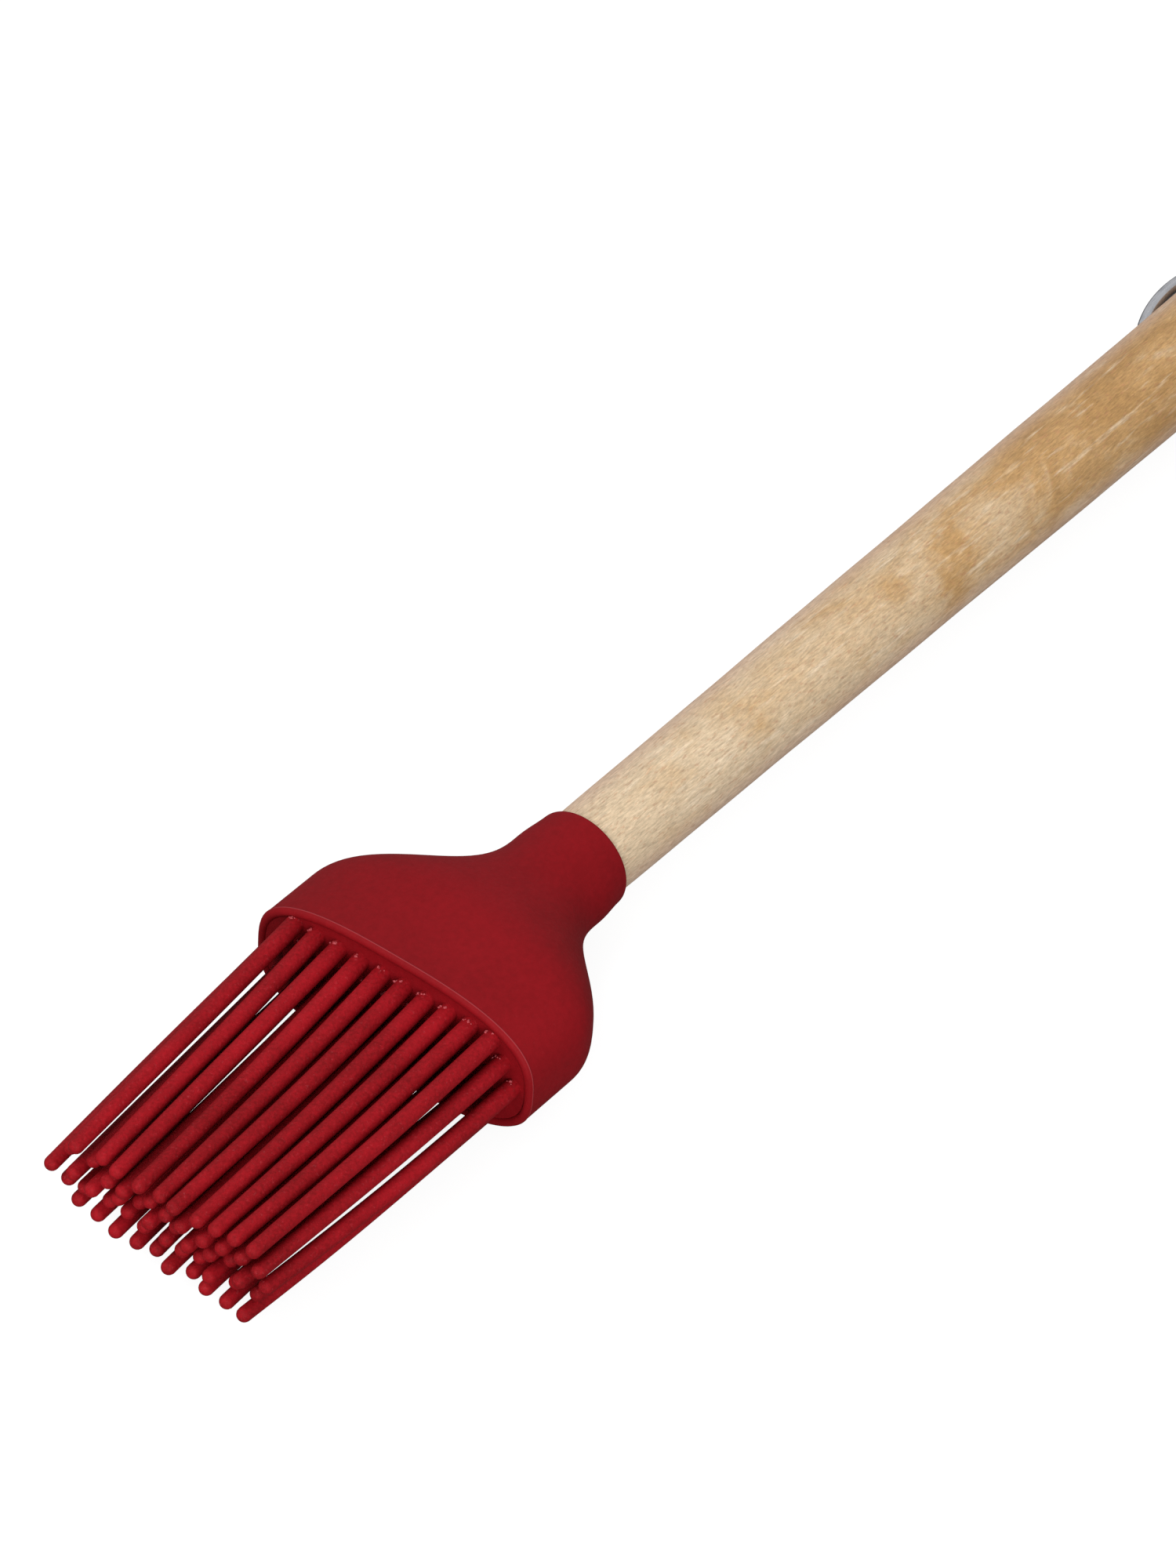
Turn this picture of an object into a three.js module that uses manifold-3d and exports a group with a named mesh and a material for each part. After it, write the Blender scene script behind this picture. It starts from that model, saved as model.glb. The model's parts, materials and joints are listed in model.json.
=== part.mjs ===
// A pastry brush: a turned birch handle, a moulded silicone head on a nylon core,
// five staggered rows of thick silicone bristles, and a steel ring to hang it by.
// Millimetres, +Z up. The brush lies on its broad face: +X runs from the bristle
// tips to the butt of the handle, and the lowest point of the head is at Z = 0.

import * as THREE from 'three';
import { mergeVertices } from 'three/addons/utils/BufferGeometryUtils.js';
import Module from 'manifold-3d';

const wasm = await Module();
wasm.setup();

// ---------------------------------------------------------------- driving dimensions

const GAP = 0.3;                     // between pieces that touch on the real brush

const HEAD_HALF_WIDTH = 22;
const HEAD_HALF_THICKNESS = 10.25;
const HEAD_LENGTH = 39;              // open front to the end of the collar
const HEAD_SQUARENESS = 2.8;         // superellipse exponent of the front, 2 is an ellipse
const COLLAR_RADIUS = 7.2;
const WAIST_HALF_WIDTH = 7.8;        // where the sweep of the sides ends
const WAIST_HALF_THICKNESS = 6.9;
const SIDE_SWEEP = { start: 9.7, end: 33.8 };
const FACE_SWEEP = { start: 12.1, end: 31.5 };
const SHOULDER_POWER = 2.1;          // higher keeps the shoulder fuller
const SWEEP_POWER = 3.15;            // higher pulls the waist in sooner
const SLEEVE_WALL = 1.2;
const RIM_BEVEL = 0.4;
const COLLAR_BORE_DEPTH = 5;

const PAD_RECESS = GAP;              // the bristle pad sits this far inside the rim
const PAD_THICKNESS = 3.8;

const BRISTLE_PITCH = 3.5;           // along a row
const ROW_SPACING = 3.1;             // between rows
const BRISTLES_IN_ROW = [10, 11, 12, 11, 10];
const FIELD_SHIFT = 0.25;            // middle of every row, across the head
const BRISTLE_LENGTH = 48.5;         // the longest one, in front of the pad
const SHORTEST_SHARE = 0.95;         // length of the shortest bristle over the longest
const BRISTLE_ROOT_RADIUS = 1.25;
const BRISTLE_TIP_RADIUS = 1.05;
const WIDTH_CONVERGENCE = 0.852;     // the tips stand closer together than the roots
const FANNING = 0.0024;              // per mm, they spread more towards +Y
const THICKNESS_CONVERGENCE = 0.86;
const ROW_LEAN = [-3.2, -2.7, -2.2, -1.75, -2.5]; // of each row's tips, across the head
const SIDE_SCATTER = 0.45;           // of single tips, across the head
const RISE_SCATTER = 0.1;            // and up or down
const SCATTER_SEED = { length: 17020, side: 36051, rise: 1 };

const HANDLE_FRONT_RADIUS = 6.35;
const HANDLE_BUTT_RADIUS = 7.75;
const HANDLE_END = 213.5;            // from the open front of the head
const BUTT_ROUNDING = 5.5;
const TENON_RADIUS = 4;
const TENON_START = 10.3;

const RING_HOLE_X = 199;
const RING_WIRE_RADIUS = 1;
const RING_RADIUS = 12.5;            // to the middle of the wire
const RING_HOLE_RADIUS = 2.8;
const RING_OFFSET = 1.5;             // the bent wire lies this far off the hole's axis

const HEAD_SEGMENTS = 36;
const ROUND_SEGMENTS = 32;
const BRISTLE_SEGMENTS = 8;

const AXIS_HEIGHT = HEAD_HALF_THICKNESS;
const RING_REACH = 2 * RING_RADIUS - RING_OFFSET; // from the hole to the ring's far side
const RING_ANGLE = Math.asin((AXIS_HEIGHT - RING_WIRE_RADIUS) / RING_REACH); // its far side rests at Z = 0
const TIP_X = PAD_RECESS - GAP - BRISTLE_LENGTH;
const RIM_X = -(TIP_X + HANDLE_END) / 2; // puts the middle of the brush at X = 0

// ---------------------------------------------------------------- finishes

const silicone = () => new THREE.MeshStandardMaterial({ color: 0x9b1a20, roughness: 0.55, metalness: 0 });
const nylon = () => new THREE.MeshStandardMaterial({ color: 0xe8e4da, roughness: 0.5, metalness: 0 });
const birch = () => new THREE.MeshStandardMaterial({ color: 0xd8b484, roughness: 0.6, metalness: 0 });
const steel = () => new THREE.MeshStandardMaterial({ color: 0xd0d2d4, roughness: 0.18, metalness: 1 });

// ---------------------------------------------------------------- solids

/** A named mesh. */
function piece(name, geometry, material) {
  const mesh = new THREE.Mesh(geometry, material);
  mesh.name = name;
  return mesh;
}

/** The same surface as a manifold-3d solid, with shared vertices and no flat slivers. */
function solidOf(geometry) {
  const bare = geometry.clone();
  bare.deleteAttribute('normal');
  bare.deleteAttribute('uv');
  const merged = mergeVertices(bare, 1e-4);
  const corners = merged.index.array;
  const kept = [];
  for (let i = 0; i < corners.length; i += 3) {
    const [a, b, c] = [corners[i], corners[i + 1], corners[i + 2]];
    if (a !== b && b !== c && c !== a) kept.push(a, b, c);
  }
  const mesh = new wasm.Mesh({
    numProp: 3,
    vertProperties: new Float32Array(merged.attributes.position.array),
    triVerts: new Uint32Array(kept),
  });
  return new wasm.Manifold(mesh);
}

/** Back from a manifold-3d solid to a surface. */
function geometryOf(solid) {
  const mesh = solid.getMesh();
  const geometry = new THREE.BufferGeometry();
  geometry.setAttribute('position', new THREE.BufferAttribute(new Float32Array(mesh.vertProperties), 3));
  geometry.setIndex(new THREE.BufferAttribute(new Uint32Array(mesh.triVerts), 1));
  geometry.computeVertexNormals();
  return geometry;
}

/** A round solid turned about the X axis, from [x, radius] points with x rising. */
function turned(profile, segments) {
  const points = profile.map(([x, radius]) => new THREE.Vector2(radius, x));
  return new THREE.LatheGeometry(points, segments).rotateZ(-Math.PI / 2);
}

/** A closed solid through superellipse sections { x, halfWidth, halfThickness, power }. */
function lofted(sections, segments) {
  const positions = [];
  for (const { x, halfWidth, halfThickness, power } of sections) {
    for (let i = 0; i < segments; i += 1) {
      const angle = ((i + 0.5) / segments) * 2 * Math.PI;
      const y = halfWidth * Math.sign(Math.cos(angle)) * Math.abs(Math.cos(angle)) ** (2 / power);
      const z = halfThickness * Math.sign(Math.sin(angle)) * Math.abs(Math.sin(angle)) ** (2 / power);
      positions.push(x, y, z);
    }
  }
  const frontCentre = positions.length / 3;
  const backCentre = frontCentre + 1;
  positions.push(sections[0].x, 0, 0, sections[sections.length - 1].x, 0, 0);

  const faces = [];
  for (let i = 0; i < segments; i += 1) {
    const next = (i + 1) % segments;
    for (let ring = 0; ring + 1 < sections.length; ring += 1) {
      const here = ring * segments;
      const beyond = here + segments;
      faces.push(here + i, here + next, beyond + next);
      faces.push(here + i, beyond + next, beyond + i);
    }
    const last = (sections.length - 1) * segments;
    faces.push(frontCentre, next, i);
    faces.push(backCentre, last + i, last + next);
  }
  const geometry = new THREE.BufferGeometry();
  geometry.setAttribute('position', new THREE.Float32BufferAttribute(positions, 3));
  geometry.setIndex(faces);
  geometry.computeVertexNormals();
  return geometry;
}

// ---------------------------------------------------------------- the head's outer form

/** Falls from 1 to 0 over a sweep, full at the shoulder and drawn out at the waist. */
function sweep(x, { start, end }) {
  const along = THREE.MathUtils.clamp((x - start) / (end - start), 0, 1);
  return (1 - along ** SHOULDER_POWER) ** SWEEP_POWER;
}

/** From the waist's size to the collar's, behind the end of a sweep. */
function neckSize(x, waist, { end }) {
  const along = THREE.MathUtils.clamp((x - end) / (HEAD_LENGTH - end), 0, 1);
  return THREE.MathUtils.lerp(waist, COLLAR_RADIUS, along);
}

/** The head's section at a distance x behind its open front, drawn in by inset. */
function headSection(x, inset = 0) {
  const sideNeck = neckSize(x, WAIST_HALF_WIDTH, SIDE_SWEEP);
  const faceNeck = neckSize(x, WAIST_HALF_THICKNESS, FACE_SWEEP);
  const halfWidth = THREE.MathUtils.lerp(sideNeck, HEAD_HALF_WIDTH, sweep(x, SIDE_SWEEP));
  const halfThickness = THREE.MathUtils.lerp(faceNeck, HEAD_HALF_THICKNESS, sweep(x, FACE_SWEEP));
  const power = THREE.MathUtils.lerp(2, HEAD_SQUARENESS, sweep(x, SIDE_SWEEP));
  return { x, halfWidth: halfWidth - inset, halfThickness: halfThickness - inset, power };
}

/** Sections at several places, all drawn in by the same inset. */
const headSections = (places, inset) => places.map((x) => headSection(x, inset));

const SHOULDER_PLACES = [SIDE_SWEEP.start, 12, 14, 16, 18, 20, 22, 24.5, 27.5];

// ---------------------------------------------------------------- sub-parts

const PAD_BACK = PAD_RECESS + PAD_THICKNESS;
const CORE_FRONT = PAD_BACK + GAP;
const COLLAR_BORE_START = HEAD_LENGTH - COLLAR_BORE_DEPTH;
const CORE_BACK = COLLAR_BORE_START - GAP;

/** The silicone head: open at the front, with a round bore at the collar. */
function headSleeve() {
  const bevel = (x) => ({ ...headSection(x, RIM_BEVEL), x });
  const outer = lofted([
    bevel(0),
    ...headSections([RIM_BEVEL, ...SHOULDER_PLACES, 31, COLLAR_BORE_START, HEAD_LENGTH - RIM_BEVEL], 0),
    bevel(HEAD_LENGTH),
  ], HEAD_SEGMENTS);
  const mouth = { ...headSection(0, SLEEVE_WALL), x: -1 };
  const cavity = lofted([
    mouth,
    ...headSections([...SHOULDER_PLACES, 31, COLLAR_BORE_START], SLEEVE_WALL),
  ], HEAD_SEGMENTS);
  const boreRadius = HANDLE_FRONT_RADIUS + GAP;
  const bore = turned([
    [COLLAR_BORE_START, 0],
    [COLLAR_BORE_START, boreRadius],
    [HEAD_LENGTH + 1, boreRadius],
    [HEAD_LENGTH + 1, 0],
  ], ROUND_SEGMENTS);
  const hollow = solidOf(cavity).add(solidOf(bore));
  return piece('head_sleeve', geometryOf(solidOf(outer).subtract(hollow)), silicone());
}

/** The stiff nylon core inside the sleeve, bored for the handle's tenon. */
function headCore() {
  const inset = SLEEVE_WALL + GAP;
  const body = lofted(headSections([CORE_FRONT, ...SHOULDER_PLACES, 31, CORE_BACK], inset), HEAD_SEGMENTS);
  const socketRadius = TENON_RADIUS + GAP;
  const socketEnd = TENON_START - GAP;
  const socket = turned([
    [socketEnd, 0],
    [socketEnd, socketRadius],
    [HEAD_LENGTH, socketRadius],
    [HEAD_LENGTH, 0],
  ], ROUND_SEGMENTS);
  return piece('head_core', geometryOf(solidOf(body).subtract(solidOf(socket))), nylon());
}

/** The silicone plate that the bristles stand on. */
function bristlePad() {
  const inset = SLEEVE_WALL + GAP;
  return piece('bristle_pad', lofted(headSections([PAD_RECESS, PAD_BACK], inset), HEAD_SEGMENTS), silicone());
}

/** A repeatable number from -1 to 1 for each bristle's serial number and each seed. */
function scatter(serial, seed) {
  const wave = Math.sin(serial * 12.9898 + seed * 78.233) * 43758.5453;
  return 2 * (wave - Math.floor(wave)) - 1;
}

/** A bristle: round root at the origin, pointing along +Y, rounded tip. */
function bristleGeometry(length) {
  const root = BRISTLE_ROOT_RADIUS;
  const tip = BRISTLE_TIP_RADIUS;
  const corner = Math.SQRT1_2;
  return new THREE.LatheGeometry([
    new THREE.Vector2(0, 0),
    new THREE.Vector2(root * corner, root * (1 - corner)),
    new THREE.Vector2(root, root),
    new THREE.Vector2(tip, length - tip),
    new THREE.Vector2(tip * corner, length - tip * (1 - corner)),
    new THREE.Vector2(0, length),
  ], BRISTLE_SEGMENTS);
}

/** Where a bristle ends, from its root, its row and its serial number. */
function bristleTip(root, row, serial, isLongest) {
  const share = THREE.MathUtils.mapLinear(scatter(serial, SCATTER_SEED.length), -1, 1, SHORTEST_SHARE, 1);
  const fanned = root.y * (WIDTH_CONVERGENCE + FANNING * root.y);
  return new THREE.Vector3(
    root.x - BRISTLE_LENGTH * (isLongest ? 1 : share),
    fanned + ROW_LEAN[row] + SIDE_SCATTER * scatter(serial, SCATTER_SEED.side),
    root.z * THICKNESS_CONVERGENCE + RISE_SCATTER * scatter(serial, SCATTER_SEED.rise),
  );
}

/** Five staggered rows of separate bristles in front of the pad. */
function bristleRows() {
  const rows = new THREE.Group();
  const middleRow = (BRISTLES_IN_ROW.length - 1) / 2;
  let serial = 0;
  BRISTLES_IN_ROW.forEach((count, row) => {
    for (let place = 0; place < count; place += 1) {
      serial += 1;
      const rootY = FIELD_SHIFT + ((count - 1) / 2 - place) * BRISTLE_PITCH;
      const root = new THREE.Vector3(PAD_RECESS - GAP, rootY, (middleRow - row) * ROW_SPACING);
      const isLongest = row === middleRow && place === middleRow;
      const direction = bristleTip(root, row, serial, isLongest).sub(root);
      const name = `bristle_${row + 1}_${String(place + 1).padStart(2, '0')}`;
      const bristle = piece(name, bristleGeometry(direction.length()), silicone());
      bristle.position.copy(root);
      bristle.quaternion.setFromUnitVectors(new THREE.Vector3(0, 1, 0), direction.normalize());
      rows.add(bristle);
    }
  });
  return rows;
}

/** The turned handle: tenon, shoulder, swelling shaft and rounded butt, bored for the ring. */
function handle() {
  const shoulder = COLLAR_BORE_START + GAP;
  const roundingStart = HANDLE_END - BUTT_ROUNDING;
  const profile = [
    [TENON_START, 0],
    [TENON_START, TENON_RADIUS],
    [shoulder, TENON_RADIUS],
    [shoulder, HANDLE_FRONT_RADIUS],
    [HEAD_LENGTH, HANDLE_FRONT_RADIUS],
    [roundingStart, HANDLE_BUTT_RADIUS],
  ];
  const roundingSteps = 5;
  for (let step = 1; step <= roundingSteps; step += 1) {
    const angle = (step / roundingSteps) * (Math.PI / 2);
    const x = roundingStart + BUTT_ROUNDING * Math.sin(angle);
    profile.push([x, HANDLE_BUTT_RADIUS - BUTT_ROUNDING * (1 - Math.cos(angle))]);
  }
  profile.push([HANDLE_END, 0]);
  const hole = new THREE.CylinderGeometry(RING_HOLE_RADIUS, RING_HOLE_RADIUS, 4 * HANDLE_BUTT_RADIUS, 24);
  hole.translate(RING_HOLE_X, 0, 0);
  const bored = solidOf(turned(profile, ROUND_SEGMENTS)).subtract(solidOf(hole));
  return piece('handle', geometryOf(bored), birch());
}

/** The steel ring, through the hole, lying forward under the handle. */
function hangRing() {
  const ring = piece('hang_ring', new THREE.TorusGeometry(RING_RADIUS, RING_WIRE_RADIUS, 10, 48), steel());
  ring.position.x = -(RING_RADIUS - RING_OFFSET);
  const hinge = new THREE.Group();
  hinge.position.x = RING_HOLE_X;
  hinge.rotation.y = -RING_ANGLE;
  hinge.add(ring);
  return hinge;
}

// ---------------------------------------------------------------- the whole brush

const group = new THREE.Group();
group.position.set(RIM_X, 0, AXIS_HEIGHT);
group.add(handle(), hangRing(), headSleeve(), headCore(), bristlePad(), bristleRows());

export default group;
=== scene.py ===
"""The looks of a pastry brush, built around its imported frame.

A turned birch handle, a moulded silicone sleeve on a nylon core, a silicone pad with five
staggered rows of thick bristles, and a bright steel ring through the butt of the handle.
Everything is in metres in the row frame: +X from the bristle tips to the butt, +Z up.
"""

import json
import logging
import math
import random
from dataclasses import dataclass
from enum import Enum
from typing import Any, Iterable, Optional, Sequence

import bmesh
import bpy
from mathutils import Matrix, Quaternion, Vector


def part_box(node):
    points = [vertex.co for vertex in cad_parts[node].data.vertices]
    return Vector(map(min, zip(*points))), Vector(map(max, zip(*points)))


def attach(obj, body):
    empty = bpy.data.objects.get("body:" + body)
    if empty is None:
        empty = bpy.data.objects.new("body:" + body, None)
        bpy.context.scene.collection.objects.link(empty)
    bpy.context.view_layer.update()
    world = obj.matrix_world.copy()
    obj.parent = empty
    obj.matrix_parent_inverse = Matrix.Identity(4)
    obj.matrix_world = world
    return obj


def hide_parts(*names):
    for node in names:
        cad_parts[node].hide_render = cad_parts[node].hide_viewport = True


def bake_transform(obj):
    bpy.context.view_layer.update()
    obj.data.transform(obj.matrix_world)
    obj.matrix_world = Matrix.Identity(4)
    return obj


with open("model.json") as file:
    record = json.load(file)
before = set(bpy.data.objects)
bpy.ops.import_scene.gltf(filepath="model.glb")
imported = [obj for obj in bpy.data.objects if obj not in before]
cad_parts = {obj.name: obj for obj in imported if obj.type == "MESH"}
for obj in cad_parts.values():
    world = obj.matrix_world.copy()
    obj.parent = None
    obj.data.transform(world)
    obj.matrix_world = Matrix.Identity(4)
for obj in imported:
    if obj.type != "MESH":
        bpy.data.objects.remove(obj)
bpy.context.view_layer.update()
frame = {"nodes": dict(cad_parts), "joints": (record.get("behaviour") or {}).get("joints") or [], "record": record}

MM = 0.001
LOG = logging.getLogger("pastry_brush")
SEED = 7                          # of the bristles' small differences
HANDLE_FRONT_RADIUS = 6.35 * MM   # the stick's radius where it leaves the collar
PALE_AND_HIGHLIGHT = "pale_and_highlight"           # mesh attribute: how pale thin flash looks, with a painted highlight on the parting line and the flash
NOISE_LOW, NOISE_HIGH = 0.3, 0.7  # almost all of a noise's values lie between these
# A Mix node's colour sockets, by number because its value sockets have the same names.
MIX_UNDER, MIX_OVER, MIX_RESULT = 6, 7, 2


# ------------------------------------------------------------------ small tools


def linear(hex_colour: str) -> tuple[float, float, float, float]:
    """Turns an sRGB hex colour to linear.

    Args:
        hex_colour: Six hex digits with a leading #.

    Returns:
        Linear red, green and blue, and an alpha of 1.
    """
    channels = [int(hex_colour[i:i + 2], 16) / 255 for i in (1, 3, 5)]
    bright = [c / 12.92 if c <= 0.04045 else ((c + 0.055) / 1.055) ** 2.4 for c in channels]
    return (bright[0], bright[1], bright[2], 1.0)


def mix(low: float, high: float, share: float) -> float:
    """Goes from low to high as share goes from 0 to 1."""
    return low + (high - low) * share


def clamp(value: float) -> float:
    """Holds a value between 0 and 1."""
    return max(0.0, min(1.0, value))


def smooth(share: float) -> float:
    """An S-shaped rise from 0 to 1, level at both ends."""
    held = clamp(share)
    return held * held * (3 - 2 * held)


def equal_turns(count: int) -> list[float]:
    """Equal turns round a full circle, in radians."""
    return [2 * math.pi * k / count for k in range(count)]


def ends_of(node: str) -> tuple[Vector, Vector]:
    """Finds where a bristle of the frame starts and stops.

    Args:
        node: The name of a bristle's node.

    Returns:
        Its root, towards the handle, and its tip.
    """
    points = [vertex.co.copy() for vertex in frame["nodes"][node].data.vertices]
    return max(points, key=lambda point: point.x), min(points, key=lambda point: point.x)


# ------------------------------------------------------------------ meshes


def mesh_object(name: str, vertices: Sequence[Vector], faces: Sequence[Sequence[int]],
                crease_degrees: float = 35.0) -> bpy.types.Object:
    """Makes a smooth-shaded object, with sharp edges where its faces turn quickly.

    Args:
        name: The piece's name.
        vertices: Its points in the row frame.
        faces: The points of each face.
        crease_degrees: Edges that turn by more than this stay sharp.

    Returns:
        The object, in the scene and with its faces pointing out.
    """
    mesh = bpy.data.meshes.new(name)
    mesh.from_pydata([tuple(v) for v in vertices], [], [tuple(f) for f in faces])
    work = bmesh.new()
    work.from_mesh(mesh)
    bmesh.ops.recalc_face_normals(work, faces=work.faces)
    work.to_mesh(mesh)
    work.free()
    mesh.shade_smooth()
    mesh.set_sharp_from_angle(angle=math.radians(crease_degrees))
    piece = bpy.data.objects.new(name, mesh)
    bpy.context.scene.collection.objects.link(piece)
    return piece


def skin(rings: Sequence[Sequence[Vector]], closed: bool) -> tuple[list[Vector], list[list[int]]]:
    """Covers a row of rings, each with the same number of points, with faces.

    Args:
        rings: The rings in order.
        closed: True if the last ring joins the first one, and False if each end is capped.

    Returns:
        The points and the faces.
    """
    count = len(rings[0])
    vertices = [point for ring in rings for point in ring]
    faces = []
    pairs = list(zip(range(len(rings)), range(1, len(rings))))
    if closed:
        pairs.append((len(rings) - 1, 0))
    for here, beyond in pairs:
        for i in range(count):
            after = (i + 1) % count
            faces.append([here * count + i, here * count + after,
                          beyond * count + after, beyond * count + i])
    if not closed:
        for ring in (0, len(rings) - 1):
            middle = sum(rings[ring], Vector()) / count
            vertices.append(middle)
            hub = len(vertices) - 1
            faces += [[hub, ring * count + i, ring * count + (i + 1) % count] for i in range(count)]
    return vertices, faces


def sweep_tube(line: Sequence[Vector], radii: Sequence[float], sides: int,
               side_axis: Vector) -> list[list[Vector]]:
    """Sets round sections along a line.

    Args:
        line: The middle of each section.
        radii: The radius of each section.
        sides: The number of points on a section.
        side_axis: A direction that is never along the line, from which each section starts.

    Returns:
        The sections.
    """
    rings = []
    for i, middle in enumerate(line):
        ahead = line[min(i + 1, len(line) - 1)] - line[max(i - 1, 0)]
        tangent = ahead.normalized()
        across = tangent.cross(side_axis).normalized()
        upward = across.cross(tangent).normalized()
        rings.append([middle + radii[i] * (math.cos(turn) * across + math.sin(turn) * upward)
                      for turn in equal_turns(sides)])
    return rings


def round_section(x: float, radius: float, sides: int, height: float) -> list[Vector]:
    """A circle about the brush's axis, at a place x along it and at the axis's height."""
    return [Vector((x, radius * math.cos(turn), height + radius * math.sin(turn)))
            for turn in equal_turns(sides)]


def set_paleness(piece: bpy.types.Object, points: Sequence[int], paleness: Sequence[float]) -> None:
    """Says how pale some points of a silicone piece look: pale flash, and a painted highlight.

    Args:
        piece: The piece.
        points: The numbers of those points.
        paleness: For each of them, from 0 for the body's colour to 1 for the palest.
    """
    pale = piece.data.attributes.new(PALE_AND_HIGHLIGHT, "FLOAT", "POINT")
    for point, value in zip(points, paleness):
        pale.data[point].value = value


def boolean_cut(piece: bpy.types.Object, cutter: bpy.types.Object) -> None:
    """Cuts one object out of another and removes the cutter.

    Args:
        piece: What is cut.
        cutter: What is taken away.
    """
    cut = piece.modifiers.new("cut", "BOOLEAN")
    cut.object = cutter
    cut.solver = "EXACT"
    bpy.context.view_layer.update()
    evaluated = piece.evaluated_get(bpy.context.evaluated_depsgraph_get())
    mesh = bpy.data.meshes.new_from_object(evaluated)
    piece.modifiers.clear()
    piece.data = mesh
    bpy.data.objects.remove(cutter)


# ------------------------------------------------------------------ materials


def add_node(tree: bpy.types.NodeTree, kind: str, settings: Optional[dict[str, Any]] = None,
             inputs: Optional[dict[Any, Any]] = None,
             stops: Sequence[tuple[float, str]] = ()) -> bpy.types.Node:
    """Adds a node with its settings, its values and its links.

    Args:
        tree: The material's nodes.
        kind: The node's type name.
        settings: Attribute values by attribute name.
        inputs: A value, or the output socket to link from, by the input's name or number.
        stops: The place and the sRGB hex colour of each stop, on a colour ramp.

    Returns:
        The new node.
    """
    node = tree.nodes.new(kind)
    for name, value in (settings or {}).items():
        setattr(node, name, value)
    for name, value in (inputs or {}).items():
        if isinstance(value, bpy.types.NodeSocket):
            tree.links.new(value, node.inputs[name])
        else:
            node.inputs[name].default_value = value
    for place, _ in stops[2:]:
        node.color_ramp.elements.new(place)
    for i, (place, colour) in enumerate(stops):
        node.color_ramp.elements[i].position = place
        node.color_ramp.elements[i].color = linear(colour)
    return node


@dataclass(frozen=True)
class Finish:
    """What every finish has: a name, and a Principled shader that it sets up."""

    name: str

    def build(self) -> bpy.types.Material:
        """Makes the material.

        Returns:
            The material with all its nodes.
        """
        material = bpy.data.materials.new(self.name)
        material.use_nodes = True
        tree = material.node_tree
        tree.nodes.clear()
        shader = add_node(tree, "ShaderNodeBsdfPrincipled")
        add_node(tree, "ShaderNodeOutputMaterial", inputs={"Surface": shader.outputs["BSDF"]})
        self.dress(tree, shader)
        return material

    def dress(self, tree: bpy.types.NodeTree, shader: bpy.types.Node) -> None:
        """Adds the finish's own nodes.

        Args:
            tree: The material's nodes.
            shader: The Principled shader.
        """
        raise NotImplementedError


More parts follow.
